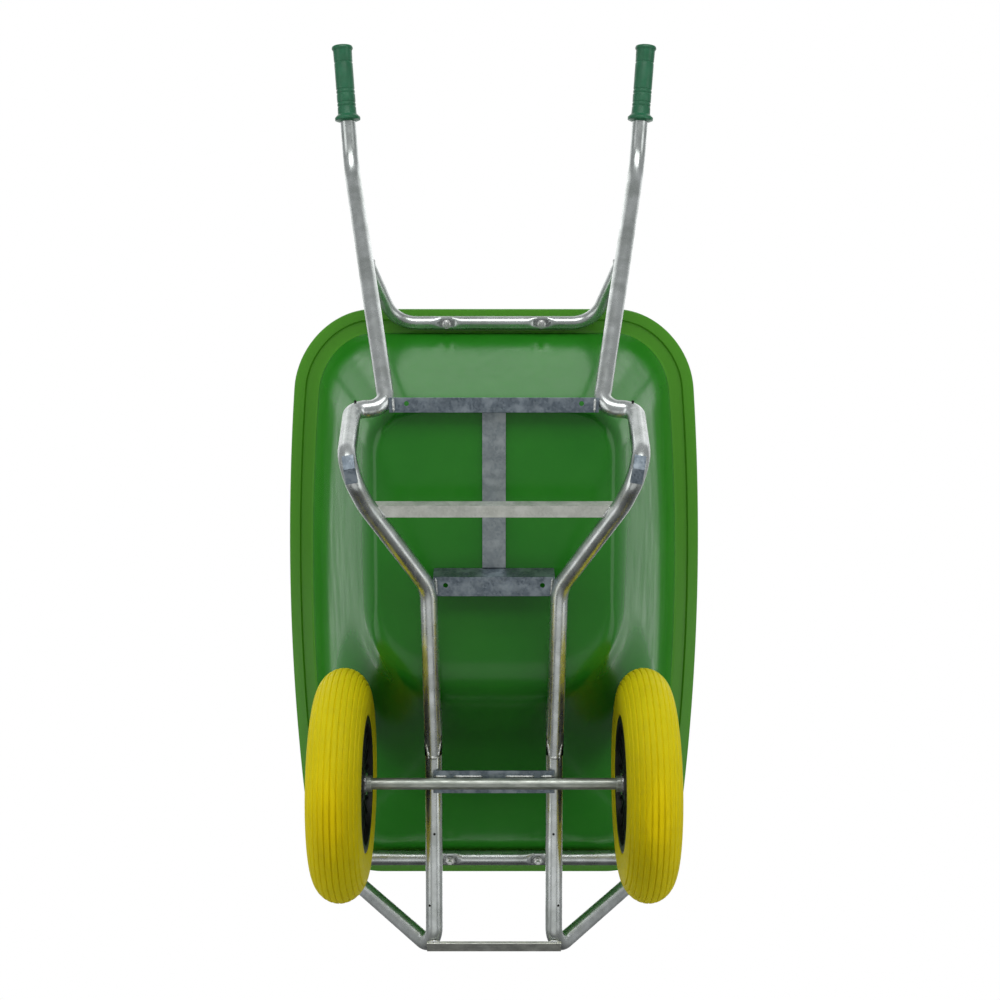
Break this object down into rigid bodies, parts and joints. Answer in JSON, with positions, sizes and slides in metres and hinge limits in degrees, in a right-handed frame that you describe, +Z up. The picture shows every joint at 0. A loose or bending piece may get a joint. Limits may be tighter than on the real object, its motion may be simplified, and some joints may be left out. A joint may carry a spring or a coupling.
{
  "type": "wheelbarrow",
  "caption": "Garden wheelbarrow with a deep moulded tray on a bent tube frame, a fixed axle with freely turning puncture-proof wheels, standing legs and moulded grips.",
  "frame": {"origin": "on the ground, under the centre of the whole barrow's bounding box", "axes": "+Y from the nose to the handle grips, +Z up, +X to the left of a person holding the grips; the axle lies along X"},
  "size_m": [0.808, 1.6642, 0.6276],
  "materials": {
    "tray_plastic": "satin moulded plastic",
    "grip_plastic": "soft moulded plastic",
    "galvanised_tube": "galvanised, smooth",
    "galvanised_bar": "galvanised, spangled and rough",
    "axle_steel": "dull galvanised",
    "zinc_fastener": "bright zinc plated",
    "tyre_foam": "solid foam, grooved tread",
    "rim_plastic": "moulded, ribbed"
  },
  "bodies": {
    "frame": {"tray": "tray_plastic", "left_handle_leg_tube": "galvanised_tube", "right_handle_leg_tube": "galvanised_tube", "left_foot_pad": "galvanised_bar", "right_foot_pad": "galvanised_bar", "front_loop_tube": "galvanised_tube", "rear_rim_tube": "galvanised_tube", "rear_crossbar": "galvanised_bar", "centre_bar": "galvanised_bar", "leg_brace": "galvanised_bar", "front_crossbar": "galvanised_bar", "axle_crossbar": "galvanised_bar", "nose_bar": "galvanised_bar", "left_grip": "grip_plastic", "right_grip": "grip_plastic", "rear_left_tray_bolt": "zinc_fastener", "rear_left_tray_washer": "zinc_fastener", "rear_left_tray_nut": "zinc_fastener", "rear_right_tray_bolt": "zinc_fastener", "rear_right_tray_washer": "zinc_fastener", "rear_right_tray_nut": "zinc_fastener", "front_left_tray_bolt": "zinc_fastener", "front_left_tray_washer": "zinc_fastener", "front_left_tray_nut": "zinc_fastener", "front_right_tray_bolt": "zinc_fastener", "front_right_tray_washer": "zinc_fastener", "front_right_tray_nut": "zinc_fastener", "axle": "axle_steel", "left_inner_washer": "zinc_fastener", "left_outer_washer": "zinc_fastener", "left_axle_collar": "axle_steel", "left_split_pin": "zinc_fastener", "right_inner_washer": "zinc_fastener", "right_outer_washer": "zinc_fastener", "right_axle_collar": "axle_steel", "right_split_pin": "zinc_fastener"},
    "wheel_left": {"left_tyre": "tyre_foam", "left_rim": "rim_plastic", "left_inner_bearing": "axle_steel", "left_outer_bearing": "axle_steel"},
    "wheel_right": {"right_tyre": "tyre_foam", "right_rim": "rim_plastic", "right_inner_bearing": "axle_steel", "right_outer_bearing": "axle_steel"}
  },
  "joints": [
    {"name": "left_wheel_spin", "type": "hinge", "parent": "frame", "child": "wheel_left", "pos_m": [0.2625, -0.50947, 0.2], "axis": [1, 0, 0], "continuous": true},
    {"name": "right_wheel_spin", "type": "hinge", "parent": "frame", "child": "wheel_right", "pos_m": [-0.2625, -0.50947, 0.2], "axis": [1, 0, 0], "continuous": true}
  ]
}
